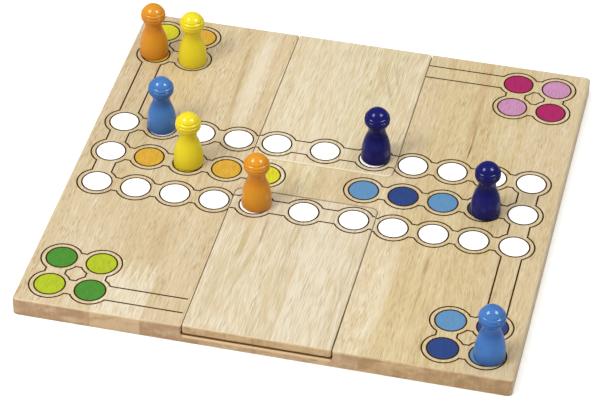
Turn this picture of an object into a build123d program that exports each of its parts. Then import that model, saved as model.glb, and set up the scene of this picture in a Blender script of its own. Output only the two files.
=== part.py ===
# Two-sided ludo board with eight turned pawns, in millimetres.
#
# The base is a solid panel glued up from long staves whose grain runs front to back. Two pockets
# are routed into its top, one open at the front edge and one at the back, and leave a fixed bridge
# across the middle and a floor under each pocket. A loose insert lies in each pocket and shows one
# half of the track, so turning both inserts over changes the track. Spots stand on a square grid,
# and the pawns stand on them.
#
# Origin: middle of the underside. X runs to the right, Y to the back and Z up.

from build123d import *

import os
from itertools import accumulate

os.makedirs("parts", exist_ok=True)

# ---- Playing grid ----
spot_pitch = 25.0
pitches_across = 12
pitches_deep = 12

# ---- Base panel ----
board_width = pitches_across * spot_pitch
board_depth = pitches_deep * spot_pitch
board_thickness = 12.0
board_corner_radius = 3.0
board_edge_radius = 1.5
board_underside_radius = 0.8

# Widths of the staves, from the left edge on. The last stave takes what is left.
board_stave_widths = (27.25, 20.5, 30.5, 36.0, 34.0, 32.5, 28.5, 27.5, 31.0)

# The third stave is two lengths joined end to end by tapered fingers, near the front edge.
jointed_stave = 3
finger_count = 6
finger_length = 16.0
finger_tip = 0.9
finger_joint_setback = 42.0

# ---- Pockets and bridge ----
pocket_width = 90.6
pocket_floor = 6.5
pocket_corner_radius = 5.0
pocket_mouth_radius = 1.6
bridge_width = 31.0

# The front pocket is routed this far to the right of the middle; the back one is in the middle.
front_pocket_shift = -1.4

# ---- Inserts ----
insert_side_gap = 0.4
insert_end_gap = 0.3
insert_setback = 0.9
insert_thickness = 6.2
insert_outer_radius = 2.0
insert_edge_radius = 1.2
front_insert_stave_widths = (27.0, 26.5, 26.5)
back_insert_stave_widths = (23.5, 26.5, 26.5)

# ---- Pawns ----
pawn_base_radius = 9.4
pawn_foot_radius = 1.1
pawn_skirt_height = 5.0
pawn_skirt_radius = 9.3
pawn_belly_height = 10.0
pawn_belly_radius = 8.85
pawn_waist_height = 16.0
pawn_waist_radius = 7.35
pawn_neck_height = 22.2
pawn_neck_radius = 5.45
pawn_head_height = 30.3
pawn_head_radius = 7.8
pawn_throat_radius = 5.75
pawn_collar_radius = 8.1
pawn_bead_count = 3
pawn_bead_pitch = 2.1
pawn_bead_depth = 0.65
pawn_bead_rise = 0.35
pawn_dome_lip = 0.3

# Each pawn: its name, the body it stands on, its place on the grid in spot pitches, and how far
# off the middle of that place it stands.
pawns = (
    ("pawn_orange_1", "board", (-5.25, 4.25), (-2.2, 1.0)),
    ("pawn_orange_2", "insert", (-1.25, -1.25), (0.85, 1.35)),
    ("pawn_yellow_1", "board", (-4.25, 4.25), (-0.15, -2.1)),
    ("pawn_yellow_2", "board", (-3.25, 0.0), (-0.4, 0.5)),
    ("pawn_light_blue_1", "board", (-4.25, 1.25), (-1.25, 0.4)),
    ("pawn_light_blue_2", "board", (5.25, -5.25), (1.8, -0.7)),
    ("pawn_dark_blue_1", "insert", (1.25, 1.25), (0.05, 1.55)),
    ("pawn_dark_blue_2", "board", (4.25, 0.0), (1.25, -2.95)),
)

# ---- Sizes that follow ----
half_width = board_width / 2
half_depth = board_depth / 2
pocket_half = pocket_width / 2
pocket_end = bridge_width / 2
mouth_reach = pocket_half + 2 * pocket_mouth_radius
insert_half = pocket_half - insert_side_gap
insert_inner_end = pocket_end + insert_end_gap
insert_outer_end = half_depth - insert_setback
insert_inner_radius = pocket_corner_radius - insert_side_gap
insert_top = pocket_floor + insert_thickness
saw_margin = 1.0


def save(piece, name):
    """Labels a finished piece and writes it under its own name."""
    piece.part.label = name
    export_step(piece.part, f"parts/{name}.step")


def stave_spans(half, widths):
    """Left and right side of each stave of a panel. The outer two run past the panel's sides."""
    glue_lines = [-half + run for run in accumulate(widths)]
    sides = [-half - saw_margin, *glue_lines, half + saw_margin]
    return list(zip(sides, sides[1:]))


def stave_of(panel, left, right):
    """The stave of a glued-up panel that lies between two glue lines."""
    with BuildPart() as stave:
        add(panel.part)
        with Locations(((left + right) / 2, 0, 0)):
            Box(right - left, 2 * board_depth, 4 * board_thickness, mode=Mode.INTERSECT)
    return stave


# ---- Base panel, before it is seen as staves ----
# A pocket in plan: its inner corners are as round as the cutter, and its mouth is eased.
with BuildSketch() as pocket_plan:
    with BuildLine():
        FilletPolyline(
            (0, pocket_end),
            (pocket_half, pocket_end),
            (pocket_half, half_depth),
            (mouth_reach, half_depth),
            radius=[pocket_corner_radius, pocket_mouth_radius],
        )
        Polyline(
            (mouth_reach, half_depth),
            (mouth_reach, half_depth + saw_margin),
            (0, half_depth + saw_margin),
        )
        mirror(about=Plane.YZ)
    make_face()

with BuildPart() as base_panel:
    with BuildSketch():
        RectangleRounded(board_width, board_depth, board_corner_radius)
    extrude(amount=board_thickness)
    fillet(base_panel.faces().sort_by(Axis.Z)[-1].edges(), board_edge_radius)
    fillet(base_panel.faces().sort_by(Axis.Z)[0].edges(), board_underside_radius)
    with BuildSketch(Plane.XY.offset(pocket_floor)):
        add(pocket_plan.sketch)
        with Locations((front_pocket_shift, 0)):
            add(pocket_plan.sketch, rotation=180)
    extrude(amount=board_thickness, mode=Mode.SUBTRACT)

# ---- Base staves ----
board_spans = stave_spans(half_width, board_stave_widths)
for number, (left, right) in enumerate(board_spans, start=1):
    if number != jointed_stave:
        save(stave_of(base_panel, left, right), f"board_stave_{number}")

# The jointed stave: the front length ends in tapered fingers that fill the notches of the back one.
left, right = board_spans[jointed_stave - 1]
finger_pitch = (right - left) / finger_count
finger_joint_y = -half_depth + finger_joint_setback
finger_root_y = finger_joint_y - finger_length / 2
finger_tip_y = finger_joint_y + finger_length / 2
finger_line = []
for finger in range(finger_count):
    finger_left = left + finger * finger_pitch
    finger_middle = finger_left + finger_pitch / 2
    finger_line += [
        (finger_left + finger_tip / 2, finger_root_y),
        (finger_middle - finger_tip / 2, finger_tip_y),
        (finger_middle + finger_tip / 2, finger_tip_y),
        (finger_left + finger_pitch - finger_tip / 2, finger_root_y),
    ]

with BuildPart() as front_length:
    with BuildSketch():
        with BuildLine():
            Polyline(
                (left, -half_depth - saw_margin),
                (left, finger_root_y),
                *finger_line,
                (right, finger_root_y),
                (right, -half_depth - saw_margin),
                close=True,
            )
        make_face()
    extrude(amount=board_thickness)
    add(base_panel.part, mode=Mode.INTERSECT)
save(front_length, f"board_stave_{jointed_stave}_front")

with BuildPart() as back_length:
    add(stave_of(base_panel, left, right).part)
    add(front_length.part, mode=Mode.SUBTRACT)
save(back_length, f"board_stave_{jointed_stave}_back")

# ---- Inserts ----
# Both inserts are alike. The back one is drawn as it lies in its pocket. The front one is the same
# panel turned half round, and pulled out until it is flush with the front edge.
with BuildPart() as back_insert_panel:
    with BuildSketch(Plane.XY.offset(pocket_floor)) as insert_plan:
        with Locations((0, insert_inner_end)):
            Rectangle(
                2 * insert_half,
                insert_outer_end - insert_inner_end,
                align=(Align.CENTER, Align.MIN),
            )
        fillet(insert_plan.vertices().group_by(Axis.Y)[0], insert_inner_radius)
        fillet(insert_plan.vertices().group_by(Axis.Y)[-1], insert_outer_radius)
    extrude(amount=insert_thickness)
    fillet(back_insert_panel.faces().filter_by(Axis.Z).edges(), insert_edge_radius)

with BuildPart() as front_insert_panel:
    with Locations((front_pocket_shift, -insert_setback, 0)):
        add(back_insert_panel.part, rotation=(0, 0, 180))

inserts = (
    ("front_insert", front_insert_panel, front_insert_stave_widths, front_pocket_shift),
    ("back_insert", back_insert_panel, back_insert_stave_widths, 0),
)
for insert_name, insert_panel, widths, shift in inserts:
    for number, (left, right) in enumerate(stave_spans(insert_half, widths), start=1):
        stave = stave_of(insert_panel, left + shift, right + shift)
        save(stave, f"{insert_name}_stave_{number}")

# ---- Pawns ----
# A turned pawn: eased foot, bell-shaped body, narrow neck, and a ball with beads round its middle.
# The beads fill a band just above the middle of the ball. They bulge out to a slightly larger
# ball, the collar, between cut grooves.
bead_band = pawn_bead_count * pawn_bead_pitch
bead_bottom = pawn_bead_rise - bead_band / 2
bead_top = pawn_bead_rise + bead_band / 2
groove_ball = pawn_collar_radius - pawn_bead_depth


def on_ball(radius, height):
    """Point of the profile that lies on a ball about the middle of the head, so far above it."""
    return ((radius**2 - height**2) ** 0.5, pawn_head_height + height)


grooves = [
    on_ball(groove_ball, bead_bottom + bead * pawn_bead_pitch)
    for bead in range(pawn_bead_count + 1)
]
crests = [
    on_ball(pawn_collar_radius, bead_bottom + (bead + 0.5) * pawn_bead_pitch)
    for bead in range(pawn_bead_count)
]
foot_start = (pawn_base_radius - pawn_foot_radius, 0)
foot_end = (pawn_base_radius, pawn_foot_radius)
skirt_top = (pawn_skirt_radius, pawn_skirt_height)
neck = (pawn_neck_radius, pawn_neck_height)
throat_drop = (pawn_head_radius**2 - pawn_throat_radius**2) ** 0.5
throat = (pawn_throat_radius, pawn_head_height - throat_drop)
cheek = on_ball(pawn_head_radius, bead_bottom - pawn_dome_lip)
dome_start = on_ball(pawn_head_radius, bead_top + pawn_dome_lip)
dome_top = (0, pawn_head_height + pawn_head_radius)

with BuildPart() as pawn_form:
    with BuildSketch(Plane.XZ):
        with BuildLine():
            Line((0, 0), foot_start)
            RadiusArc(foot_start, foot_end, -pawn_foot_radius)
            skirt = Line(foot_end, skirt_top)
            Spline(
                skirt_top,
                (pawn_belly_radius, pawn_belly_height),
                (pawn_waist_radius, pawn_waist_height),
                neck,
                tangents=[skirt % 1, (0, 1)],
            )
            TangentArc(neck, throat, tangent=(0, 1))
            RadiusArc(throat, cheek, -pawn_head_radius)
            Line(cheek, grooves[0])
            for bead, crest in enumerate(crests):
                ThreePointArc(grooves[bead], crest, grooves[bead + 1])
            Line(grooves[-1], dome_start)
            RadiusArc(dome_start, dome_top, -pawn_head_radius)
            Line(dome_top, (0, 0))
        make_face()
    revolve(axis=Axis.Z)

standing_heights = {"board": board_thickness, "insert": insert_top}
for pawn_name, carrier, (column, row), (off_x, off_y) in pawns:
    stand = (
        column * spot_pitch + off_x,
        row * spot_pitch + off_y,
        standing_heights[carrier],
    )
    with BuildPart() as pawn:
        with Locations(stand):
            add(pawn_form.part)
    save(pawn, pawn_name)
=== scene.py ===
import math

import bpy
import numpy as np
from mathutils import Matrix, Vector


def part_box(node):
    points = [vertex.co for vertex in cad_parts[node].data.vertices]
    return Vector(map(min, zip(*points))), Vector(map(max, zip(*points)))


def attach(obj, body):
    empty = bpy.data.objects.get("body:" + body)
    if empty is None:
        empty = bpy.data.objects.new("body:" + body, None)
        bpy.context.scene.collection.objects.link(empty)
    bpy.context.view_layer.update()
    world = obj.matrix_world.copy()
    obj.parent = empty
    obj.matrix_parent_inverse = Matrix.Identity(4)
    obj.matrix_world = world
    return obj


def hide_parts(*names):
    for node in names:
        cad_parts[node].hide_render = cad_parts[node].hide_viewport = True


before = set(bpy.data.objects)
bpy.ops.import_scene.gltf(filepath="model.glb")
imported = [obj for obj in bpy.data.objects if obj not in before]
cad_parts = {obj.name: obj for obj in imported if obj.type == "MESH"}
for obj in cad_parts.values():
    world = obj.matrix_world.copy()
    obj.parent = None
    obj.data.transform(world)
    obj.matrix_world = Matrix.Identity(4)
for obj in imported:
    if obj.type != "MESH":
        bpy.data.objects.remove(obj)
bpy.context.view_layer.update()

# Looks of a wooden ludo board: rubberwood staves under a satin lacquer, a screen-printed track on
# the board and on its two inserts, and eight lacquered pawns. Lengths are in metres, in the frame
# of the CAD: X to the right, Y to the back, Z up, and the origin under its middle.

MM = 0.001

# How much brighter the studio light is than white needs to look white.
light_gain = 1.25

# ---- Places read from the frame ----


def box_of(prefix):
    """Lowest and highest corner of all the nodes whose names start with a prefix."""
    corners = [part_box(name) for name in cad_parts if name.startswith(prefix)]
    lows, highs = zip(*corners)
    return np.min(lows, axis=0), np.max(highs, axis=0)


board_low, board_high = box_of("board_stave")
inserts = {name: box_of(name) for name in ("front_insert", "back_insert")}
front_low, front_high = inserts["front_insert"]
back_low, back_high = inserts["back_insert"]
pitch = (board_high[0] - board_low[0]) / 12
board_top = board_high[2]
insert_top = front_high[2]
pocket_floor = front_low[2]

# ---- Sizes of the print ----
spot_radius = 0.373 * pitch
outline_radius = 0.495 * pitch
neck_half_width = 0.25 * pitch
line_width = 1.0 * MM
ink_thickness = 0.03 * MM
line_lift = 0.02 * MM
insert_edge_radius = 1.2 * MM
insert_side_gap = 0.4 * MM
insert_end_gap = 0.3 * MM
pocket_end = back_low[1] - insert_end_gap
# How far over an insert's edge a print bends, and how far inside its sides the necks end.
edge_drape = 0.98 * insert_edge_radius
stub_inset = 0.25 * insert_edge_radius
# How far each panel's print sits off the middle of the panel, to the right and to the back.
board_print_shift = (-0.75 * MM, -0.35 * MM)
front_print_shift = (-0.45 * MM, 0.3 * MM)
back_print_shift = (-0.9 * MM, -0.05 * MM)

# ---- Sizes of a pawn, as in the CAD ----
# Its bell from the foot up to the neck: radius, height, and slope of the radius over the height.
bell_knots = [
    (9.4 * MM, 1.1 * MM, 0.06),
    (9.3 * MM, 5.0 * MM, -0.03),
    (8.85 * MM, 10.0 * MM, -0.16),
    (7.35 * MM, 16.0 * MM, -0.34),
    (5.45 * MM, 22.2 * MM, 0.0),
]
foot_radius = 1.1 * MM
throat_radius = 5.75 * MM
throat_slope = 0.34
head_height = 30.3 * MM
head_radius = 7.8 * MM
collar_radius = 8.1 * MM
bead_count = 3
bead_pitch = 2.1 * MM
bead_depth = 0.65 * MM
bead_rise = 0.35 * MM
dome_lip = 0.3 * MM

# ---- How finely round shapes are cut ----
arc_step = math.radians(5)
spot_segments = 72
pawn_segments = 96
foot_points = 9
stretch_points = (13, 13, 13, 13, 9)
cheek_points = 7
bead_steps = 14
dome_points = 22
edge_steps = 12


# ---- Meshes ----


def add_object(name, data):
    """A new object in the scene from a mesh, a camera or a lamp."""
    made = bpy.data.objects.new(name, data)
    bpy.context.scene.collection.objects.link(made)
    return made


def lattice(rows, columns, round_rows=False, round_columns=False):
    """Quads of a grid of points: each joins a point to the next in its row and to the next row.

    A round direction also joins its last line of points to its first.
    """
    row = np.arange(rows if round_rows else rows - 1)[:, None]
    column = np.arange(columns if round_columns else columns - 1)[None, :]
    next_row = (row + 1) % rows
    next_column = (column + 1) % columns
    corners = (
        row * columns + column,
        row * columns + next_column,
        next_row * columns + next_column,
        next_row * columns + column,
    )
    return np.stack(np.broadcast_arrays(*corners), axis=-1).reshape(-1, 4)


def put_mesh(name, shapes, material, body, smooth=False):
    """One piece from one or more shapes, each an array of points and a list of face arrays."""
    points = np.concatenate([shape[0] for shape in shapes])
    starts = np.cumsum([0] + [len(shape[0]) for shape in shapes])
    faces = [block + start for shape, start in zip(shapes, starts) for block in shape[1]]
    sizes = np.concatenate([np.full(len(block), block.shape[1]) for block in faces])
    corners = np.concatenate([block.ravel() for block in faces])
    mesh = bpy.data.meshes.new(name)
    mesh.vertices.add(len(points))
    mesh.vertices.foreach_set("co", points.ravel().astype(np.float32))
    mesh.loops.add(len(corners))
    mesh.loops.foreach_set("vertex_index", corners.astype(np.int32))
    mesh.polygons.add(len(sizes))
    mesh.polygons.foreach_set("loop_start", (np.cumsum(sizes) - sizes).astype(np.int32))
    mesh.polygons.foreach_set("use_smooth", np.full(len(sizes), smooth))
    mesh.update(calc_edges=True)
    mesh.validate()
    mesh.materials.append(material)
    piece = add_object(name, mesh)
    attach(piece, body)
    return piece


def turned(profile, centre, segments):
    """Surface of revolution: each point of the profile is carried round the upright axis.

    The profile runs from the axis at the bottom, outwards and up, to the axis at the top, so its
    first and last points are single poles.
    """
    angle = np.linspace(0, 2 * math.pi, segments, endpoint=False)
    radius = profile[1:-1, 0][:, None]
    height = np.broadcast_to(profile[1:-1, 1][:, None], (len(profile) - 2, segments))
    rings = np.stack([radius * np.cos(angle), radius * np.sin(angle), height], axis=-1)
    poles = np.array([[0, 0, profile[0, 1]], [0, 0, profile[-1, 1]]])
    points = np.concatenate([rings.reshape(-1, 3), poles]) + np.array(centre)
    around = np.arange(segments)
    onward = (around + 1) % segments
    bottom, top = np.full((2, segments), [[len(points) - 2], [len(points) - 1]])
    last = (len(profile) - 3) * segments
    quads = lattice(len(profile) - 2, segments, round_columns=True)
    fans = [
        np.stack([bottom, onward, around], axis=-1),
        np.stack([top, last + around, last + onward], axis=-1),
    ]
    return points, [quads, *fans]


def printed_disc(centre):
    """A round film of ink, for one spot: a flat turned form with a square rim."""
    rim = [(0, 0), (spot_radius, 0), (spot_radius, ink_thickness), (0, ink_thickness)]
    return turned(np.array(rim), centre, spot_segments)


def printed_line(path, closed):
    """A film of ink along a path: a flat rectangular section carried along it, mitred at corners.

    At each point the two sides stand off along the mean of the normals of the runs before and
    after it, lengthened by the mitre, so that the line keeps its width round a corner.
    """
    run = np.diff(path, axis=0, append=path[:1]) if closed else np.diff(path, axis=0)
    run = run[:, :2] / np.linalg.norm(run[:, :2], axis=1, keepdims=True)
    normal = np.stack([-run[:, 1], run[:, 0]], axis=-1)
    before = np.roll(normal, 1, axis=0) if closed else np.concatenate([normal[:1], normal])
    after = normal if closed else np.concatenate([normal, normal[-1:]])
    mean = before + after
    side = mean / (mean * after).sum(axis=1, keepdims=True) * line_width / 2
    side = np.column_stack([side, np.zeros(len(side))])
    lift = np.array([0, 0, ink_thickness])
    section = np.stack([path + side, path - side, path - side + lift, path + side + lift], axis=1)
    faces = [lattice(len(path), 4, round_rows=closed, round_columns=True)[:, ::-1]]
    if not closed:
        start = np.array([[0, 1, 2, 3]])
        faces += [start, start[:, ::-1] + 4 * (len(path) - 1)]
    return section.reshape(-1, 3), faces


def arc(centre, radius, start, end, count=None):
    """Points of a circle from a start to an end angle, counter-clockwise, a step apart or less."""
    angle = np.linspace(start, end, count or max(2, math.ceil((end - start) / arc_step) + 1))
    return np.column_stack([centre[0] + radius * np.cos(angle), centre[1] + radius * np.sin(angle)])


# ---- Shader helpers ----


def feed(tree, socket, value):
    """Joins an output to a socket, or sets the socket to a plain value."""
    if isinstance(value, bpy.types.NodeSocket):
        tree.links.new(value, socket)
    else:
        socket.default_value = value


def node(tree, kind, inputs=None, **settings):
    """Adds a shader node, sets its properties, and fills its inputs with values or sockets."""
    made = tree.nodes.new("ShaderNode" + kind)
    for name, value in settings.items():
        setattr(made, name, value)
    for name, value in (inputs or {}).items():
        feed(tree, made.inputs[name], value)
    return made


def maths(tree, operation, *values, clamp=False):
    """A math node on one, two or three values."""
    inputs = dict(enumerate(values))
    return node(tree, "Math", inputs, operation=operation, use_clamp=clamp).outputs[0]


def times(tree, value, *factors):
    """Product of a value and one or more factors."""
    for factor in factors:
        value = maths(tree, "MULTIPLY", value, factor)
    return value


def swing(tree, field):
    """How far a noise is above or below its middle."""
    return maths(tree, "SUBTRACT", field, 0.5)


def fade(tree, value, start, end, low=0.0, high=1.0):
    """Smooth step of a value from low at the start to high at the end."""
    inputs = {"Value": value, "From Min": start, "From Max": end, "To Min": low, "To Max": high}
    return node(tree, "MapRange", inputs, interpolation_type="SMOOTHSTEP").outputs["Result"]


def tint(tree, factor, first, second, blend="MIX"):
    """Blends two colours by a factor."""
    inputs = {0: factor, 6: first, 7: second}
    return node(tree, "Mix", inputs, data_type="RGBA", blend_type=blend).outputs[2]


def features(tree, vector, sizes):
    """A place counted in features that are so many millimetres long along X, Y and Z."""
    scale = [1 / (MM * size) for size in sizes]
    return node(tree, "Mapping", {"Vector": vector, "Scale": scale}).outputs[0]


def cloud(tree, vector, sizes, detail=2.0, roughness=0.5, distortion=0.0):
    """Soft noise whose features are so many millimetres long along X, Y and Z."""
    inputs = {
        "Vector": features(tree, vector, sizes),
        "Scale": 1.0,
        "Detail": detail,
        "Roughness": roughness,
        "Distortion": distortion,
    }
    return node(tree, "TexNoise", inputs).outputs[0]


def group(name, inputs, outputs):
    """A new shader node group that reads a Vector: (group, what it is given, its exit).

    Each input has its kind, or its number. An output is a number, unless it is named Color.
    """
    tree = bpy.data.node_groups.new(name, "ShaderNodeTree")
    for label, value in {"Vector": "Vector", **inputs}.items():
        kind = value if isinstance(value, str) else "Float"
        socket = tree.interface.new_socket(label, in_out="INPUT", socket_type="NodeSocket" + kind)
        if kind == "Float":
            socket.default_value = value
    for label in outputs:
        kind = "NodeSocketColor" if label == "Color" else "NodeSocketFloat"
        tree.interface.new_socket(label, in_out="OUTPUT", socket_type=kind)
    return tree, tree.nodes.new("NodeGroupInput").outputs, tree.nodes.new("NodeGroupOutput")


def give(tree, leave, **results):
    """Joins results to a node's inputs of the same names."""
    for name, value in results.items():
        tree.links.new(value, leave.inputs[name])


def place(tree, made_group, vector, **values):
    """Places a group with its own values, and gives its outputs."""
    return node(tree, "Group", {"Vector": vector, **values}, node_tree=made_group).outputs


def axes(tree, vector):
    """The X, Y and Z of a vector."""
    return node(tree, "SeparateXYZ", {0: vector}).outputs


def screen_colour(red, green, blue):
    """Base colour that looks like a screen colour, given from 0 to 255, under the studio light."""
    share = np.array([red, green, blue]) / 255
    linear = np.where(share <= 0.04045, share / 12.92, ((share + 0.055) / 1.055) ** 2.4)
    return (*(linear / light_gain).tolist(), 1.0)


def grey(level):
    """A grey of one level."""
    return (level, level, level, 1.0)


def new_material(name, constants):
    """A material with constants set on its shader: (material, tree, shader, place of a point)."""
    material = bpy.data.materials.new(name)
    material.use_nodes = True
    tree = material.node_tree
    tree.nodes.clear()
    shader = node(tree, "BsdfPrincipled", constants)
    node(tree, "OutputMaterial", {"Surface": shader.outputs[0]})
    return material, tree, shader, node(tree, "TexCoord").outputs["Object"]


def finish_surface(tree, shader, colour, roughness, height, depth):
    """Joins a colour, a roughness and a bump height, so deep, to a shader."""
    bump = node(tree, "Bump", {"Height": height, "Distance": depth}).outputs[0]
    give(tree, shader, **{"Base Color": colour, "Roughness": roughness, "Normal": bump})


# ---- Rubberwood ----
wood_dark = screen_colour(190, 158, 108)
wood_middle = screen_colour(219, 197, 154)
wood_pale = screen_colour(237, 225, 196)
pore_colour = screen_colour(148, 112, 68)
end_grain_colour = screen_colour(208, 176, 132)
end_grain_shade = screen_colour(176, 138, 96)
# A pale colour: wear and a painted highlight on the rounded edges, and painted light on the sawn
# ends in the pockets' gaps.
wear_and_painted_light = screen_colour(238, 220, 184)
# Painted shade: the dark colour put in the gaps round the inserts.
painted_gap_shade = screen_colour(126, 78, 20)
# A painted highlight on the rim of the board below each pocket's floor.
rim_highlight_colour = screen_colour(230, 198, 150)
# How much of that painted shade the upper walls of the gaps get.
painted_seam_shade = 0.25
# How much of it the rounded edges get, as wear and painted highlight.
edge_wear_and_highlight = 0.25

# Colours that marks in the wood tend to.
mark_colours = {
    "pale": screen_colour(245, 236, 212),
    "pink": screen_colour(212, 172, 132),
    "brown": screen_colour(180, 142, 86),
    "olive": screen_colour(188, 166, 108),
    "dark": screen_colour(106, 74, 34),
}

# Slight casts that set the staves apart.
casts = {
    "plain": grey(1.0),
    "grey": (0.955, 0.965, 1.0, 1.0),
    "yellow": (1.0, 1.0, 0.93, 1.0),
    "olive": (0.98, 1.0, 0.96, 1.0),
    "straw": (0.965, 0.955, 0.84, 1.0),
}

# Features of the grain, as millimetres across it, along it and up.
bend_sizes = (50, 80, 50)
band_sizes = (8, 150, 8)
cloud_sizes = (22, 40, 22)
streak_sizes = (1.7, 34, 1.7)
fibre_sizes = (0.62, 7.5, 0.62)
pore_sizes = (0.8, 6.5, 0.8)
pore_crowd_sizes = (6, 30, 6)
mark_break_sizes = (1.2, 14, 1.2)
end_patch_sizes = (11, 9, 6)
end_ray_sizes = (1.6, 4, 7)
end_pit_sizes = (0.45, 0.45, 0.45)

# How far the grain bends, and how strongly each feature sways the tone.
bend_reach = 8 * MM
band_strength = 0.75
streak_strength = 0.55
cloud_strength = 0.28
fibre_strength = 1.4
mark_break_strength = 1.1
end_ray_strength = 0.35
end_pit_strength = 0.25

# Where masks start and end, and what some run between.
pore_fade = (0.42, 0.14)
pore_crowd_fade = (0.38, 0.66, 0.1, 1.0)
end_fade = (0.28, 0.72)
mark_fade = (1.1, 0.2)
end_facing = (0.2, 0.6)
inner_fade = (40 * MM, 30 * MM)
edge_lean = 0.72
edge_fade = (0.24, 0.1)
blend_share = 0.6

# Where the painted shade in the pockets' gaps starts and ends: in from a wall, past an end, and in
# height.
wall_start = (-0.2 * MM, -0.1 * MM)
wall_reach = (2.2 * MM, 0.9 * MM)
rim_reach = 0.5 * MM
end_reach = (2 * MM, 8 * MM)
floor_reach = (pocket_floor + 1.6 * MM, pocket_floor + 0.6 * MM, painted_seam_shade, 1.0)
mouth_reach = (board_top - 0.15 * MM, board_top - 0.7 * MM)
under_reach = (pocket_floor - 0.7 * MM, pocket_floor - 0.4 * MM)

# The same on an insert: in from its sides, down from its top, and up from its foot.
side_reach = (0.35 * MM, 0.15 * MM, 0.0, painted_seam_shade)
side_drop = (0.5 * MM, 1.1 * MM)
foot_reach = (1.5 * MM, 0.9 * MM)

# The painted highlight on the board's rim below a pocket's floor: its height, and its fade at the
# sides.
rim_bottom = (pocket_floor - 3.2 * MM, pocket_floor - 1.8 * MM)
rim_top = (pocket_floor - 0.5 * MM, pocket_floor - 0.8 * MM)
rim_side = (0.0, 1 * MM)

# The wood's surface. Roughness is a slope on the fibres and a start.
fibre_roughness = (0.16, 0.34)
pore_roughness = 0.12
pore_dip = 0.8
mark_depth = 20 * MM
grain_bump = 0.03 * MM
wood_coat = {"Coat Weight": 0.18, "Coat Roughness": 0.32}
usual_pores = 0.44


def make_rubberwood():
    """Rubberwood whose grain runs along Y: slow bands, streaks, fibres and dark pore dashes.

    Every field is a noise that is far longer along Y than across it. A pore is a dash where a
    stretched cell pattern is near its point.
    """
    inputs = {"Tone": 0.0, "Figure": 1.0, "Pores": usual_pores}
    tree, given, leave = group("rubberwood", inputs, ["Color", "Roughness", "Height"])
    vector = given["Vector"]
    sway = times(tree, swing(tree, cloud(tree, vector, bend_sizes, detail=1.0)), bend_reach)
    shift = node(tree, "CombineXYZ", {"X": sway}).outputs[0]
    bent = node(tree, "VectorMath", {0: vector, 1: shift}, operation="ADD").outputs[0]
    bands = cloud(tree, bent, band_sizes)
    clouds = cloud(tree, vector, cloud_sizes)
    streaks = cloud(tree, bent, streak_sizes, roughness=0.6)
    fibres = cloud(tree, bent, fibre_sizes, roughness=0.6)
    nearest = node(tree, "TexVoronoi", {"Vector": features(tree, bent, pore_sizes), "Scale": 1.0})
    dash = fade(tree, nearest.outputs["Distance"], *pore_fade)
    crowd = fade(tree, cloud(tree, bent, pore_crowd_sizes), *pore_crowd_fade)
    pores = maths(tree, "MULTIPLY", dash, crowd, clamp=True)

    figure = given["Figure"]
    tone = maths(tree, "ADD", given["Tone"], 0.5)
    for field, strength in ((bands, band_strength), (streaks, streak_strength)):
        tone = maths(tree, "MULTIPLY_ADD", times(tree, swing(tree, field), strength), figure, tone)
    for field, strength in ((clouds, cloud_strength), (fibres, fibre_strength)):
        tone = maths(tree, "MULTIPLY_ADD", swing(tree, field), strength, tone)
    lower = tint(tree, fade(tree, tone, 0.0, 0.5), wood_dark, wood_middle)
    colour = tint(tree, fade(tree, tone, 0.5, 1.0), lower, wood_pale)
    colour = tint(tree, times(tree, pores, given["Pores"]), colour, pore_colour)
    rough = maths(tree, "MULTIPLY_ADD", fibres, *fibre_roughness)
    rough = maths(tree, "MULTIPLY_ADD", pores, pore_roughness, rough)
    height = maths(tree, "MULTIPLY_ADD", pores, -pore_dip, fibres)
    give(tree, leave, Color=colour, Roughness=rough, Height=height)
    return tree


def make_end_grain():
    """Sawn ends of the staves: each mottled in its own way, with short rays and fine pits."""
    tree, given, leave = group("end_grain", {"Tone": 0.0}, ["Color"])
    vector = given["Vector"]
    tone = cloud(tree, vector, end_patch_sizes, distortion=0.4)
    rays = cloud(tree, vector, end_ray_sizes)
    pits = cloud(tree, vector, end_pit_sizes, detail=1.0)
    for field, strength in ((rays, end_ray_strength), (pits, end_pit_strength)):
        tone = maths(tree, "MULTIPLY_ADD", swing(tree, field), strength, tone)
    tone = maths(tree, "ADD", tone, given["Tone"])
    colour = tint(tree, fade(tree, tone, *end_fade), end_grain_shade, end_grain_colour)
    give(tree, leave, Color=colour)
    return tree


def make_mark():
    """A mark along the grain: an oval mask, soft at its rim and broken up by fine noise.

    Share is the place from the mark's middle, in its own directions, as a share of its reach.
    """
    tree, given, leave = group("grain_mark", {"Share": "Vector"}, ["Mask"])
    far = node(tree, "VectorMath", {0: given["Share"]}, operation="LENGTH")
    broken = swing(tree, cloud(tree, given["Vector"], mark_break_sizes))
    far = maths(tree, "MULTIPLY_ADD", broken, mark_break_strength, far.outputs["Value"])
    give(tree, leave, Mask=fade(tree, far, *mark_fade))
    return tree


def make_stave_sides():
    """Which side of a stave a point is on, from its place and its normal.

    End is the sawn ends, which face along Y, and Inner those of them inside the pockets. Edge is
    the rounded edges, whose normals lean. Along goes from 0 at the front to 1 at the back.
    """
    outputs = ["Along", "End", "Inner", "Edge"]
    tree, given, leave = group("stave_sides", {"Normal": "Vector"}, outputs)
    y = axes(tree, given["Vector"])["Y"]
    facing = axes(tree, given["Normal"])
    from_lean = maths(tree, "ABSOLUTE", maths(tree, "SUBTRACT", facing["Z"], edge_lean))
    give(
        tree,
        leave,
        Along=fade(tree, y, board_low[1] * blend_share, board_high[1] * blend_share),
        End=fade(tree, maths(tree, "ABSOLUTE", facing["Y"]), *end_facing),
        Inner=fade(tree, maths(tree, "ABSOLUTE", y), *inner_fade),
        Edge=fade(tree, from_lean, *edge_fade),
    )
    return tree


def across_of(low, high):
    """Middle of an insert across the board, and half its width."""
    return (low[0] + high[0]) / 2, (high[0] - low[0]) / 2


def near_wall(tree, x, middle, half):
    """Depth inside a pocket or insert in plan from the nearer of its long sides."""
    beside = maths(tree, "ABSOLUTE", maths(tree, "SUBTRACT", x, middle))
    return maths(tree, "SUBTRACT", half, beside)


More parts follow.
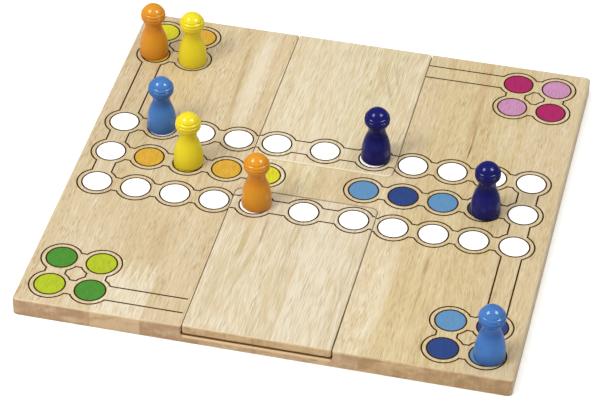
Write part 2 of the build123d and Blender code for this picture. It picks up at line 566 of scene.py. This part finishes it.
def make_pocket_painted_shade():
    """Painted shade on the long walls of both pockets, and at the floor's rim."""
    tree, given, leave = group("pocket_painted_shade", {}, ["Mask"])
    x, y, z = axes(tree, given["Vector"])
    masks = []
    for (low, high), side in zip(inserts.values(), (-1, 1)):
        middle, half = across_of(low, high)
        depth = near_wall(tree, x, middle, half + insert_side_gap)
        rim = maths(tree, "SUBTRACT", board_high[1], maths(tree, "ABSOLUTE", y))
        reach = maths(tree, "MINIMUM", depth, maths(tree, "ADD", rim, rim_reach))
        inside = fade(tree, reach, *wall_start)
        close = fade(tree, reach, *wall_reach)
        past_end = maths(tree, "SUBTRACT", times(tree, y, side), pocket_end)
        masks.append(times(tree, inside, close, fade(tree, past_end, *end_reach)))
    low_down = fade(tree, z, *floor_reach)
    below = fade(tree, z, *mouth_reach)
    above = fade(tree, z, *under_reach)
    both = maths(tree, "ADD", *masks, clamp=True)
    give(tree, leave, Mask=times(tree, both, low_down, below, above))
    return tree


def make_insert_painted_shade():
    """The same painted shade on an insert: down its long sides, and round its lower edge."""
    inputs = {"Middle": 0.0, "Half": 0.0, "Bottom": 0.0, "Top": 0.0}
    tree, given, leave = group("insert_painted_shade", inputs, ["Mask"])
    x, _, z = axes(tree, given["Vector"])
    depth = near_wall(tree, x, given["Middle"], given["Half"])
    down = maths(tree, "SUBTRACT", given["Top"], z)
    up = maths(tree, "SUBTRACT", z, given["Bottom"])
    walls = times(tree, fade(tree, depth, *side_reach), fade(tree, down, *side_drop))
    foot = fade(tree, up, *foot_reach)
    give(tree, leave, Mask=maths(tree, "MAXIMUM", walls, foot))
    return tree


def make_pocket_rim_highlight():
    """Painted highlight on the board's rounded rim just below each pocket's floor, on its front and
    back.
    """
    tree, given, leave = group("pocket_rim_highlight", {}, ["Mask"])
    x, _, z = axes(tree, given["Vector"])
    depth = near_wall(tree, x, *across_of(front_low, front_high))
    lower = fade(tree, z, *rim_bottom)
    upper = fade(tree, z, *rim_top)
    give(tree, leave, Mask=times(tree, lower, upper, fade(tree, depth, *rim_side)))
    return tree


rubberwood = make_rubberwood()
end_grain = make_end_grain()
grain_mark = make_mark()
stave_sides = make_stave_sides()
pocket_painted_shade = make_pocket_painted_shade()
insert_painted_shade = make_insert_painted_shade()
pocket_rim_highlight = make_pocket_rim_highlight()


def painted_shade_on(tree, name, point):
    """The mask of painted shade in the gaps on a stave of the board or of one insert."""
    for insert, (low, high) in inserts.items():
        if name.startswith(insert):
            middle, half = across_of(low, high)
            own_values = {"Middle": middle, "Half": half, "Bottom": low[2], "Top": high[2]}
            return place(tree, insert_painted_shade, point, **own_values)["Mask"]
    return place(tree, pocket_painted_shade, point)["Mask"]


def mark_on(tree, point, moved, x, y, across, length, lean, strength):
    """How far a mark shows at a point: millimetres for places and reaches, degrees for its lean."""
    oval = {
        "Location": (x * MM, y * MM, board_top),
        "Rotation": (0, 0, math.radians(lean)),
        "Scale": (across * MM, length * MM, mark_depth),
    }
    share = node(tree, "Mapping", {"Vector": point, **oval}, vector_type="TEXTURE").outputs[0]
    return times(tree, place(tree, grain_mark, moved, Share=share)["Mask"], strength)


def wood_material(name, offset, tones, cast, figure, stretch, lean, pores, marks):
    """Lacquered rubberwood of one stave.

    offset is its own place in the grain, and the rest are its looks and its marks, as in the tables
    below. Inside a pocket a sawn end is painted paler: painted light against the shade in its gap.
    """
    material, tree, shader, point = new_material(name, wood_coat)
    own_grain = {
        "Location": offset,
        "Rotation": (0, 0, math.radians(lean)),
        "Scale": (1, 1 / stretch, 1),
    }
    moved = node(tree, "Mapping", {"Vector": point, **own_grain}).outputs[0]
    normal = node(tree, "NewGeometry").outputs["Normal"]
    sides = place(tree, stave_sides, point, Normal=normal)
    tone = maths(tree, "MULTIPLY_ADD", sides["Along"], tones[1] - tones[0], tones[0])
    wood = place(tree, rubberwood, moved, Tone=tone, Figure=figure, Pores=pores)
    front_cast, back_cast, end_cast = [casts[word] for word in cast.split()]
    own_cast = tint(tree, sides["Along"], front_cast, back_cast)
    colour = tint(tree, 1.0, wood["Color"], own_cast, "MULTIPLY")
    for mark_colour, *mark in marks:
        shown = mark_on(tree, point, moved, *mark)
        colour = tint(tree, shown, colour, mark_colours[mark_colour])
    end_colour = place(tree, end_grain, moved, Tone=tones[2])["Color"]
    end_colour = tint(tree, 1.0, end_colour, end_cast, "MULTIPLY")
    # Painted light: the sawn ends inside the pockets are made paler against the shade in their
    # gaps.
    end_colour = tint(tree, sides["Inner"], end_colour, wear_and_painted_light)
    # On the board, a painted highlight on the rim below each pocket's floor.
    if name.startswith("board"):
        end_colour = tint(tree, place(tree, pocket_rim_highlight, point)["Mask"], end_colour, rim_highlight_colour)
    colour = tint(tree, sides["End"], colour, end_colour)
    # The rounded edges paler: wear and a painted highlight.
    colour = tint(tree, times(tree, sides["Edge"], edge_wear_and_highlight), colour, wear_and_painted_light)
    # Painted shade in the gaps round the inserts and under their front edges.
    colour = tint(tree, painted_shade_on(tree, name, point), colour, painted_gap_shade)
    finish_surface(tree, shader, colour, wood["Roughness"], wood["Height"], grain_bump)
    return material


# Each stave: its tones and its casts at the front, at the back and on its ends, its figure, the
# stretch of its streaks, the lean of its grain in degrees and the depth of its pores.
stave_looks = {
    "board_stave_1": ((-0.03, -0.06, -0.075), "grey grey plain", 0.9, 1.2, 0.8, 0.7),
    "board_stave_2": ((0.0, -0.06, -0.07), "grey yellow plain", 0.8, 1.2, -1.0, 0.44),
    "board_stave_3_back": ((-0.02, 0.04, -0.01), "grey plain plain", 0.7, 1.2, 0.5, 0.65),
    "board_stave_3_front": ((0.3, 0.3, 0.13), "grey grey plain", 0.3, 1.2, -0.4, 0.44),
    "board_stave_4": ((-0.04, 0.06, -0.08), "grey plain plain", 0.8, 1.4, 1.2, 0.6),
    "board_stave_5": ((0.2, 0.22, 0.1), "yellow yellow plain", 0.9, 1.2, -0.8, 0.44),
    "board_stave_6": ((-0.02, -0.02, -0.01), "plain plain plain", 0.7, 1.2, 0.9, 0.44),
    "board_stave_7": ((0.18, 0.05, 0.01), "plain plain plain", 0.9, 1.2, -1.1, 0.55),
    "board_stave_8": ((-0.05, -0.06, 0.005), "yellow yellow straw", 0.7, 1.4, 0.7, 0.55),
    "board_stave_9": ((-0.08, -0.06, 0.0), "yellow yellow straw", 1.1, 1.2, -0.6, 0.44),
    "board_stave_10": ((-0.03, 0.05, -0.095), "plain plain straw", 0.8, 1.2, 1.0, 0.44),
    "front_insert_stave_1": ((0.22, 0.18, 0.05), "grey grey straw", 0.45, 1.9, 0.4, 0.44),
    "front_insert_stave_2": ((0.18, 0.18, 0.06), "grey grey straw", 0.4, 1.9, -0.7, 0.65),
    "front_insert_stave_3": ((0.3, 0.28, 0.17), "grey grey straw", 0.3, 1.9, 0.6, 0.5),
    "front_insert_stave_4": ((0.2, 0.2, 0.2), "grey grey straw", 0.6, 1.9, -0.9, 0.44),
    "back_insert_stave_1": ((0.26, 0.24, 0.13), "plain plain straw", 0.45, 1.9, 0.8, 0.44),
    "back_insert_stave_2": ((0.26, 0.26, 0.13), "plain plain straw", 0.45, 1.9, -0.6, 0.44),
    "back_insert_stave_3": ((0.22, 0.22, 0.11), "plain olive straw", 0.6, 2.0, 4.0, 0.55),
    "back_insert_stave_4": ((0.24, 0.24, 0.12), "plain plain straw", 0.9, 2.0, 4.0, 0.44),
}

# Each mark on a stave: its colour, its middle in X and Y and its reach across and along the grain
# in millimetres, its lean in degrees and its strength.
stave_marks = {
    "board_stave_3_back": [
        ("dark", -87, 70, 0.7, 22, 0, 0.22),
        ("brown", -73, 116, 1.6, 34, 1, 0.35),
        ("brown", -78, -80, 7, 28, 0, 0.32),
    ],
    "board_stave_4": [
        ("pale", -61.5, 100, 8.5, 85, 0, 0.52),
        ("brown", -70.4, 84, 1.8, 44, 2.4, 0.5),
        ("pink", -54, 128, 2.6, 38, 0, 0.5),
        ("brown", -53, 72, 2.2, 30, 0, 0.22),
    ],
    "board_stave_5": [
        ("olive", -17, 0, 2.2, 15, 0, 0.4),
        ("brown", -11.5, -2, 1.4, 15, 0, 0.25),
        ("olive", -6, 2, 1.4, 13, 0, 0.5),
    ],
    # The dark line at x 43.5 near the front runs along the front insert's right seam: painted shade
    # in the gap.
    "board_stave_7": [("dark", 43.5, -138, 0.65, 42, 0, 0.85)],
    "board_stave_8": [
        ("pale", 60.5, -95, 6.5, 75, 0, 0.4),
        ("brown", 82, -62, 1.6, 14, 0, 0.75),
        ("brown", 82.4, -95, 0.8, 26, -1, 0.4),
        ("brown", 85.5, 82, 3, 30, 0, 0.3),
        ("pink", 84, 124, 5, 34, 2, 0.4),
    ],
    "board_stave_9": [
        ("brown", 86.4, 56, 3, 22, -1, 0.25),
        ("brown", 87.4, 66, 0.9, 18, 0, 0.6),
        ("dark", 87.2, 53, 0.9, 12, -4, 0.85),
        ("dark", 87.7, 82, 0.6, 26, 0, 0.3),
        ("pale", 109, 72, 9, 26, 0, 0.2),
        ("brown", 90, 106, 2.5, 30, 0, 0.12),
    ],
    "front_insert_stave_1": [
        ("olive", -29.5, -66, 2.8, 36, 0, 0.52),
        ("dark", -20.0, -55, 0.9, 18, 0, 0.5),
        ("olive", -23.5, -88, 1.8, 40, -6, 0.45),
        ("olive", -38, -112, 4.5, 36, 0, 0.25),
    ],
    "front_insert_stave_2": [("dark", -1, -92, 0.5, 40, 0, 0.2)],
    "front_insert_stave_3": [
        ("dark", 16, -90, 0.5, 42, -1, 0.2),
        ("dark", 19, -110, 0.5, 30, -1, 0.22),
    ],
    "front_insert_stave_4": [
        ("dark", 38, -95, 0.5, 45, 0, 0.25),
        # The dark line at x 43.5 near the front runs along the seam beside the board: painted shade
        # in the gap.
        ("dark", 43.5, -138, 0.65, 42, 0, 0.85),
    ],
    "back_insert_stave_3": [
        ("brown", 25, 104, 1.4, 30, 18, 0.35),
        ("pink", 18, 114, 1.8, 26, 18, 0.3),
        ("brown", 29, 112, 0.9, 24, 18, 0.3),
    ],
    "back_insert_stave_4": [("pink", 37, 92, 2.0, 24, 16, 0.25)],
}

# How far each stave is moved through the grain from the one before it, in metres.
grain_step = (0.037, 0.211, 0.053)


def dress_staves():
    """Gives each stave its own wood, moved along the grain by steps that don't repeat."""
    for number, (name, looks) in enumerate(stave_looks.items()):
        offset = tuple(step * number for step in grain_step)
        marks = stave_marks.get(name, [])
        material = wood_material(f"{name}_wood", offset, *looks, marks)
        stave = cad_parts[name]
        stave.data.materials.clear()
        stave.data.materials.append(material)


# ---- Printing inks ----
usual_thinness = 0.45
white_ink_base = (0.9, 0.9, 0.89, 1.0)
white_thinness = 0.03
white_glow = 0.1
line_colour = screen_colour(66, 42, 14)
line_thinness = 0.15

# Each other ink: its colour and its thinness.
ink_looks = {
    "orange": ((224, 175, 54), 0.5),
    "yellow": ((222, 216, 30), usual_thinness),
    "light_blue": ((96, 148, 194), 0.25),
    "dark_blue": ((38, 68, 136), usual_thinness),
    "green": ((72, 146, 44), usual_thinness),
    "light_green": ((180, 198, 24), usual_thinness),
    "magenta": ((180, 26, 103), usual_thinness),
    "pink": ((208, 148, 192), usual_thinness),
}

# The wood under an ink, the ink's thin places in millimetres, and its surface.
under_ink = {"Tone": 0.3, "Figure": 0.5}
ink_patch_sizes = (0.7, 6, 0.7)
ink_patch_fade = (0.38, 0.68)
ink_roughness = (0.15, 0.42)
ink_bump = 0.015 * MM


def make_ink_film():
    """A film of screen-printing ink: patchy, so that the wood shows through its thin places."""
    inputs = {"Color": "Color", "Wood": "Color", "Thinness": usual_thinness}
    tree, given, leave = group("ink_film", inputs, ["Color", "Roughness"])
    ink = given["Color"]
    through = tint(tree, 1.0, ink, given["Wood"], "MULTIPLY")
    patchy = cloud(tree, given["Vector"], ink_patch_sizes, detail=3.0)
    share = times(tree, fade(tree, patchy, *ink_patch_fade), given["Thinness"])
    rough = maths(tree, "MULTIPLY_ADD", patchy, *ink_roughness)
    give(tree, leave, Color=tint(tree, share, ink, through), Roughness=rough)
    return tree


ink_film = make_ink_film()


def ink_material(name, colour, thinness, gloss=0.25, glow=0.0):
    """Screen-printing ink on the wood: thin enough for the grain to show in its tone and surface.

    thinness is how much wood shows through, gloss is its specular level, and glow is the little
    light that keeps a white ink white in shade.
    """
    surface = {"Specular IOR Level": gloss, "Emission Color": grey(1.0), "Emission Strength": glow}
    material, tree, shader, point = new_material(name, surface)
    wood = place(tree, rubberwood, point, **under_ink)
    film = place(tree, ink_film, point, Color=colour, Wood=wood["Color"], Thinness=thinness)
    finish_surface(tree, shader, film["Color"], film["Roughness"], wood["Height"], ink_bump)
    return material


inks = {
    name: ink_material(f"{name}_ink", screen_colour(*colour), thinness)
    for name, (colour, thinness) in ink_looks.items()
}
inks["white"] = ink_material("white_ink", white_ink_base, white_thinness, glow=white_glow)
inks["line"] = ink_material("line_ink", line_colour, line_thinness, gloss=0.0)

# ---- Track ----
# Places are in spot pitches from the middle of the board.
arm_columns = (5.25, 4.25, 3.25, 2.25)
home_corners = ((5.25, 5.25), (4.25, 5.25), (4.25, 4.25), (5.25, 4.25))
board_spots = {
    "white": (
        [(side * x, row) for side in (-1, 1) for row in (1.25, -1.25) for x in arm_columns]
        + [(-5.25, 0.0), (5.25, 0.0)]
    ),
    "orange": [(-4.25, 0.0), (-2.25, 0.0), (-4.25, 5.25), (-5.25, 4.25)],
    "yellow": [(-3.25, 0.0), (-1.25, 0.0), (-5.25, 5.25), (-4.25, 4.25)],
    "light_blue": [(1.25, 0.0), (3.25, 0.0), (4.25, -4.25), (5.25, -5.25)],
    "dark_blue": [(2.25, 0.0), (4.25, 0.0), (5.25, -4.25), (4.25, -5.25)],
    "magenta": [(4.25, 5.25), (5.25, 4.25)],
    "pink": [(5.25, 5.25), (4.25, 4.25)],
    "green": [(-5.25, -4.25), (-4.25, -5.25)],
    "light_green": [(-4.25, -4.25), (-5.25, -5.25)],
}
insert_columns = (-1.25, 0.0, 1.25)
front_seams = (front_low[0] - insert_side_gap, front_high[0] + insert_side_gap)
back_seams = (back_low[0] - insert_side_gap, back_high[0] + insert_side_gap)


def row_links(row, columns):
    """Joins each spot of a row to the next one."""
    return [((a, row), (b, row)) for a, b in zip(columns, columns[1:])]


def board_links():
    """Every neck between two spots of the board."""
    links = []
    for side in (-1, 1):
        outer = [side * column for column in arm_columns]
        links += row_links(1.25, outer) + row_links(-1.25, outer)
        links += row_links(0.0, [*outer, side * 1.25])
        edge = [(side * 5.25, row) for row in (1.25, 0.0, -1.25)]
        links += list(zip(edge, edge[1:]))
        links.append(((side * 5.25, -side * 1.25), (side * 5.25, -side * 4.25)))
        for end in (-1, 1):
            ring = [(side * x, end * y) for x, y in home_corners]
            links += list(zip(ring, ring[1:] + ring[:1]))
    return links


# Necks that run out where a panel ends: the spot, and where across the board the neck's end lies.
board_stubs = [
    ((-2.25, 1.25), back_seams[0]),
    ((2.25, 1.25), back_seams[1]),
    ((4.25, 5.25), back_seams[1]),
    ((-2.25, -1.25), front_seams[0]),
    ((2.25, -1.25), front_seams[1]),
    ((-4.25, -5.25), front_seams[0] - 2.0 * MM),
]


def arms_of(links, stubs):
    """The necks at each spot by their angle: {spot: [(angle, spot or end reached, is an end)]}."""
    arms = {}
    for first, second in links:
        for here, there in ((first, second), (second, first)):
            angle = math.atan2(there[1] - here[1], there[0] - here[0])
            arms.setdefault(here, []).append((angle, there, False))
    for spot, across in stubs:
        angle = 0.0 if across > spot[0] else math.pi
        arms.setdefault(spot, []).append((angle, (across, spot[1]), True))
    return {spot: sorted(found) for spot, found in arms.items()}


def outlines(links, stubs):
    """Outlines of the track, as closed or open paths in the plane.

    The track is a disc round each spot and a straight neck along each link, and its outline is
    followed with the track on the left: round a disc from one neck to the next, then along that
    neck to the next disc. A path that meets the end of a neck stays open there.
    """
    arms = arms_of(links, stubs)
    corner = math.asin(neck_half_width / outline_radius)
    unused = [(spot, index) for spot, found in arms.items() for index in range(len(found))]
    unused.sort(key=lambda state: not arms[state[0]][state[1]][2])
    paths = []
    while unused:
        spot, index = start = unused[0]
        angle, end, is_open = arms[spot][index]
        points = [neck_point(end, angle, 1)] if is_open else []
        while True:
            unused.remove((spot, index))
            angle = arms[spot][index][0]
            following = (index + 1) % len(arms[spot])
            next_angle, reached, is_end = arms[spot][following]
            if next_angle <= angle:
                next_angle += 2 * math.pi
            centre = np.array(spot) * pitch
            points.append(arc(centre, outline_radius, angle + corner, next_angle - corner))
            if is_end:
                points.append(neck_point(reached, next_angle, -1))
                break
            spot, index = reached, [arm[1] for arm in arms[reached]].index(spot)
            if (spot, index) == start:
                break
        paths.append((np.concatenate(points), not is_open))
    return paths


def neck_point(end, angle, side):
    """Corner of a neck's open end, on its left for side 1 and on its right for side -1."""
    across = side * neck_half_width
    x = end[0] * pitch - across * math.sin(angle)
    y = end[1] * pitch + across * math.cos(angle)
    return np.array([[x, y]])


def over_edge(path, left, right, top):
    """Height of a print on an insert: flat, then down the rounding of the insert's long edges."""
    radius = insert_edge_radius
    past = np.maximum(left + radius - path[:, 0], path[:, 0] - (right - radius))
    return top - radius + np.sqrt(radius**2 - np.clip(past, 0, edge_drape) ** 2)


def print_rows(name, body, top, shift, spots, links, stubs, edge=None):
    """Prints spots, their rings and the outline of their track on one body."""
    move = np.array([*shift, 0.0])
    for colour, places in spots.items():
        discs = [printed_disc(np.array([x * pitch, y * pitch, top]) + move) for x, y in places]
        put_mesh(f"{colour}_spots_{name}", discs, inks[colour], body)
    lines = []
    for x, y in sum(spots.values(), []):
        ring = arc((x * pitch, y * pitch), spot_radius, 0, 2 * math.pi)[:-1]
        ring = np.column_stack([ring, np.full(len(ring), top + line_lift)])
        lines.append(printed_line(ring + move, True))
    put_mesh(f"spot_rings_{name}", lines, inks["line"], body)
    lines = []
    ends = [(spot, (across - shift[0]) / pitch) for spot, across in stubs]
    for path, closed in outlines(links, ends):
        path = path + move[:2]
        heights = np.full(len(path), top)
        if edge:
            path = path if closed else drape_ends(path)
            heights = over_edge(path, *edge, top)
        lines.append(printed_line(np.column_stack([path, heights]), closed))
    put_mesh(f"track_outline_{name}", lines, inks["line"], body)


def drape_ends(path):
    """Adds points along the end runs of an open path, so that it can bend down."""
    steps = np.linspace(0, 1, edge_steps, endpoint=False)[:, None]
    first = path[0] + (path[1] - path[0]) * steps
    last = path[-1] + (path[-2] - path[-1]) * steps
    return np.concatenate([first, path[1:-1], last[::-1]])


def print_track():
    """The whole track: on the board, and one row of three spots on each insert."""
    print_rows(
        "on_board", "board", board_top, board_print_shift, board_spots, board_links(), board_stubs
    )
    for name, row, shift in (
        ("front_insert", -1.25, front_print_shift),
        ("back_insert", 1.25, back_print_shift),
    ):
        left, right = (corner[0] for corner in inserts[name])
        spots = {"white": [(column, row) for column in insert_columns]}
        stubs = [((-1.25, row), left + stub_inset), ((1.25, row), right - stub_inset)]
        links = row_links(row, insert_columns)
        print_rows(f"on_{name}", name, insert_top, shift, spots, links, stubs, (left, right))


# ---- Pawns ----


def hermite(low, high, count):
    """Cubic of radius over height between two points, each a radius, a height and a slope."""
    (low_radius, low_height, low_slope), (high_radius, high_height, high_slope) = low, high
    span = high_height - low_height
    t = np.linspace(0, 1, count)
    radius = (
        (2 * t**3 - 3 * t**2 + 1) * low_radius
        + (t**3 - 2 * t**2 + t) * span * low_slope
        + (-2 * t**3 + 3 * t**2) * high_radius
        + (t**3 - t**2) * span * high_slope
    )
    return np.column_stack([radius, low_height + span * t])


def pawn_profile():
    """Half section of a pawn: eased foot, bell, throat, ball with beads, as radius against height.

    The bell and the throat are smooth stretches from knot to knot. The beads are half waves that
    stand out from the floor of the grooves to a ball slightly larger than the dome.
    """
    foot_centre = (bell_knots[0][0] - foot_radius, foot_radius)
    foot = arc(foot_centre, foot_radius, -math.pi / 2, 0, foot_points)
    throat_height = head_height - math.sqrt(head_radius**2 - throat_radius**2)
    knots = [*bell_knots, (throat_radius, throat_height, throat_slope)]
    bell = [hermite(*stretch)[1:] for stretch in zip(knots, knots[1:], stretch_points)]
    half_band = bead_count * bead_pitch / 2
    share = np.linspace(0, bead_count, bead_steps * bead_count + 1)
    rise = share * bead_pitch - half_band + bead_rise
    swell = np.abs(np.sin(math.pi * share)) ** 0.5
    floor = np.sqrt((collar_radius - bead_depth) ** 2 - rise**2)
    crest = np.sqrt(collar_radius**2 - rise**2)
    beads = np.column_stack([floor + (crest - floor) * swell, head_height + rise])
    head = ((0.0, head_height), head_radius)
    dome_start = math.asin((half_band + bead_rise + dome_lip) / head_radius)
    cheek_end = math.asin((half_band - bead_rise + dome_lip) / head_radius)
    throat_angle = math.acos(throat_radius / head_radius)
    cheek = arc(*head, -throat_angle, -cheek_end, cheek_points)[1:]
    dome = arc(*head, dome_start, math.pi / 2, dome_points)
    dome[-1, 0] = 0.0
    return np.concatenate([[(0.0, 0.0)], foot, *bell, cheek, beads, dome])


# Features of the lacquer in millimetres, where each starts and ends, and how much shade it brings.
lacquer_flow_sizes = (9, 9, 12)
turning_mark_sizes = (60, 60, 0.45)
lacquer_skin_sizes = (0.8, 0.8, 0.8)
flow_fade = (0.3, 0.75, 0.0, 0.35)
turning_fade = (0.45, 0.8, 0.0, 0.12)
# Where the lacquer is darker at the foot and round the neck: partly pooled lacquer, partly painted
# shade.
foot_pool_and_shade = (10 * MM, 1 * MM)
neck_pool_and_shade = (16 * MM, 21 * MM)
head_pool_and_shade = (34 * MM, 28 * MM)
pool_and_shade_depth = 0.7
lacquer_roughness = (0.08, 0.12)
turning_height = 0.5
skin_bump = 0.006 * MM

# Each lacquer: its colour, its darker shade where it is deep and as painted shade, and its specular
# level.
lacquer_looks = {
    "orange": ((228, 154, 37), (214, 130, 38), 0.25),
    "yellow": ((243, 224, 40), (236, 208, 38), 0.25),
    "light_blue": ((76, 129, 198), (50, 92, 160), 0.25),
    "dark_blue": ((28, 29, 108), (13, 14, 78), 0.17),
}


def make_lacquer():
    """Glossy coloured lacquer on turned wood, darker at the foot and the neck: pooled lacquer and
    painted shade.

    It has slow changes of depth, faint turning marks and a fine uneven skin.
    """
    inputs = {"Color": "Color", "Shade": "Color"}
    tree, given, leave = group("pawn_lacquer", inputs, ["Color", "Roughness", "Height"])
    vector, colour, shade = given[:3]
    slow = cloud(tree, vector, lacquer_flow_sizes)
    turning = cloud(tree, vector, turning_mark_sizes)
    skin = cloud(tree, vector, lacquer_skin_sizes)
    colour = tint(tree, fade(tree, slow, *flow_fade), colour, shade)
    colour = tint(tree, fade(tree, turning, *turning_fade), colour, shade)
    # Darker at the foot and round the neck: pooled lacquer and painted shade.
    up = maths(tree, "SUBTRACT", axes(tree, vector)["Z"], board_top)
    at_foot = fade(tree, up, *foot_pool_and_shade)
    at_neck = times(tree, fade(tree, up, *neck_pool_and_shade), fade(tree, up, *head_pool_and_shade))
    pooled_and_shaded = times(tree, maths(tree, "MAXIMUM", at_foot, at_neck), pool_and_shade_depth)
    colour = tint(tree, pooled_and_shaded, colour, shade)
    rough = maths(tree, "MULTIPLY_ADD", slow, *lacquer_roughness)
    height = maths(tree, "MULTIPLY_ADD", turning, turning_height, skin)
    give(tree, leave, Color=colour, Roughness=rough, Height=height)
    return tree


pawn_lacquer = make_lacquer()


def paint_material(name, colour, shade, gloss):
    """One colour of pawn: a smooth lacquer, its deeper shade, and its specular level."""
    material, tree, shader, point = new_material(name, {"Specular IOR Level": gloss})
    paint = place(tree, pawn_lacquer, point, Color=colour, Shade=shade)
    finish_surface(tree, shader, paint["Color"], paint["Roughness"], paint["Height"], skin_bump)
    return material


paints = {
    name: paint_material(f"{name}_lacquer", screen_colour(*colour), screen_colour(*shade), gloss)
    for name, (colour, shade, gloss) in lacquer_looks.items()
}


def turn_pawns():
    """A smooth turned pawn in place of each pawn of the CAD, on the same spot."""
    for name in sorted(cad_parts):
        if not name.startswith("pawn_"):
            continue
        low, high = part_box(name)
        middle = ((low.x + high.x) / 2, (low.y + high.y) / 2, low.z)
        colour = name.removeprefix("pawn_").rsplit("_", 1)[0]
        form = turned(pawn_profile(), middle, pawn_segments)
        paint, slot = paints[colour], f"{colour}_paint"
        piece = put_mesh(f"turned_{name}", [form], paint, name, smooth=True)
        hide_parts(name)


# ---- Studio ----
floor_size = 14.0
floor_surface = {"Roughness": 0.9, "Emission Color": grey(1.0), "Emission Strength": 0.2}
floor_greys = (grey(0.9), grey(0.93))
floor_patch_sizes = (900, 900, 900)
camera_aim = Vector((-5.4 * MM, -19.6 * MM, board_top))
camera_distance = 1.7291
camera_turn = math.radians(-12.506)
camera_level = Vector((math.cos(camera_turn), -math.sin(camera_turn), 0))
camera_tilt = math.radians(39.209)
camera_roll = math.radians(0.942)
camera_lens = 168.38
camera_sensor = 36.0
camera_reach = 20.0
sky_strength = 0.56
sky_in_gloss = 0.2

# Each lamp: its size, distance and power, its direction as shares to the right, towards the camera
# and up, and whether it lights surfaces or only shows in their gloss.
lamps = {
    "left_softbox": (0.56, 1.6, 24.0, (-0.543, 0.147, 0.825), "gloss"),
    "right_softbox": (0.56, 1.6, 24.0, (0.543, 0.147, 0.825), "gloss"),
    "key_lamp": (0.45, 1.5, 11.0, (-0.546, 0.347, 0.76), "light"),
    "top_lamp": (1.2, 1.5, 12.0, (0.0, 0.0, 1.0), "light"),
}


def lay_floor():
    """A plain pale floor under the board."""
    material, tree, shader, point = new_material("pale_floor", floor_surface)
    soft = cloud(tree, point, floor_patch_sizes, detail=1.0)
    colour = tint(tree, soft, *floor_greys)
    in_gloss = node(tree, "LightPath").outputs["Is Glossy Ray"]
    tree.links.new(tint(tree, in_gloss, colour, grey(sky_in_gloss)), shader.inputs["Base Color"])
    half = floor_size / 2
    corners = [(-half, -half, 0), (half, -half, 0), (half, half, 0), (-half, half, 0)]
    mesh = bpy.data.meshes.new("floor")
    mesh.from_pydata(corners, [], [(0, 1, 2, 3)])
    mesh.materials.append(material)
    floor = add_object("floor", mesh)


def set_camera():
    """A long lens that looks down on the board from the front, by its turn, tilt and roll."""
    ahead = math.cos(camera_tilt)
    forward = Vector(
        (math.sin(camera_turn) * ahead, math.cos(camera_turn) * ahead, -math.sin(camera_tilt))
    )
    rise = camera_level.cross(forward)
    right = camera_level * math.cos(camera_roll) + rise * math.sin(camera_roll)
    up = rise * math.cos(camera_roll) - camera_level * math.sin(camera_roll)
    data = bpy.data.cameras.new("camera")
    data.lens = camera_lens
    data.sensor_width = camera_sensor
    data.clip_end = camera_reach
    camera = add_object("camera", data)
    turn = Matrix((right, up, -forward)).transposed().to_4x4()
    camera.matrix_world = Matrix.Translation(camera_aim - forward * camera_distance) @ turn
    bpy.context.scene.camera = camera


def set_lights():
    """Even light from all round and above, a softer key from the left, and two boxes for gloss."""
    world = bpy.data.worlds.new("studio")
    world.use_nodes = True
    tree = world.node_tree
    sky = tree.nodes["Background"]
    sky.inputs["Color"].default_value = grey(1.0)
    in_gloss = node(tree, "LightPath").outputs["Is Glossy Ray"]
    strength = maths(tree, "MULTIPLY_ADD", in_gloss, sky_in_gloss - sky_strength, sky_strength)
    tree.links.new(strength, sky.inputs["Strength"])
    bpy.context.scene.world = world
    nearer = Vector((-math.sin(camera_turn), -math.cos(camera_turn), 0))
    for name, (size, distance, power, (across, towards, up), use) in lamps.items():
        data = bpy.data.lights.new(name, "AREA")
        data.size = size
        data.energy = power
        lamp = add_object(name, data)
        lamp.visible_diffuse = use == "light"
        lamp.visible_glossy = use == "gloss"
        direction = camera_level * across + nearer * towards + Vector((0, 0, up))
        direction.normalize()
        facing = direction.to_track_quat("Z", "Y").to_matrix().to_4x4()
        lamp.matrix_world = Matrix.Translation(direction * distance) @ facing
    bpy.context.scene.view_settings.view_transform = "Standard"


dress_staves()
print_track()
turn_pawns()
lay_floor()
set_camera()
set_lights()
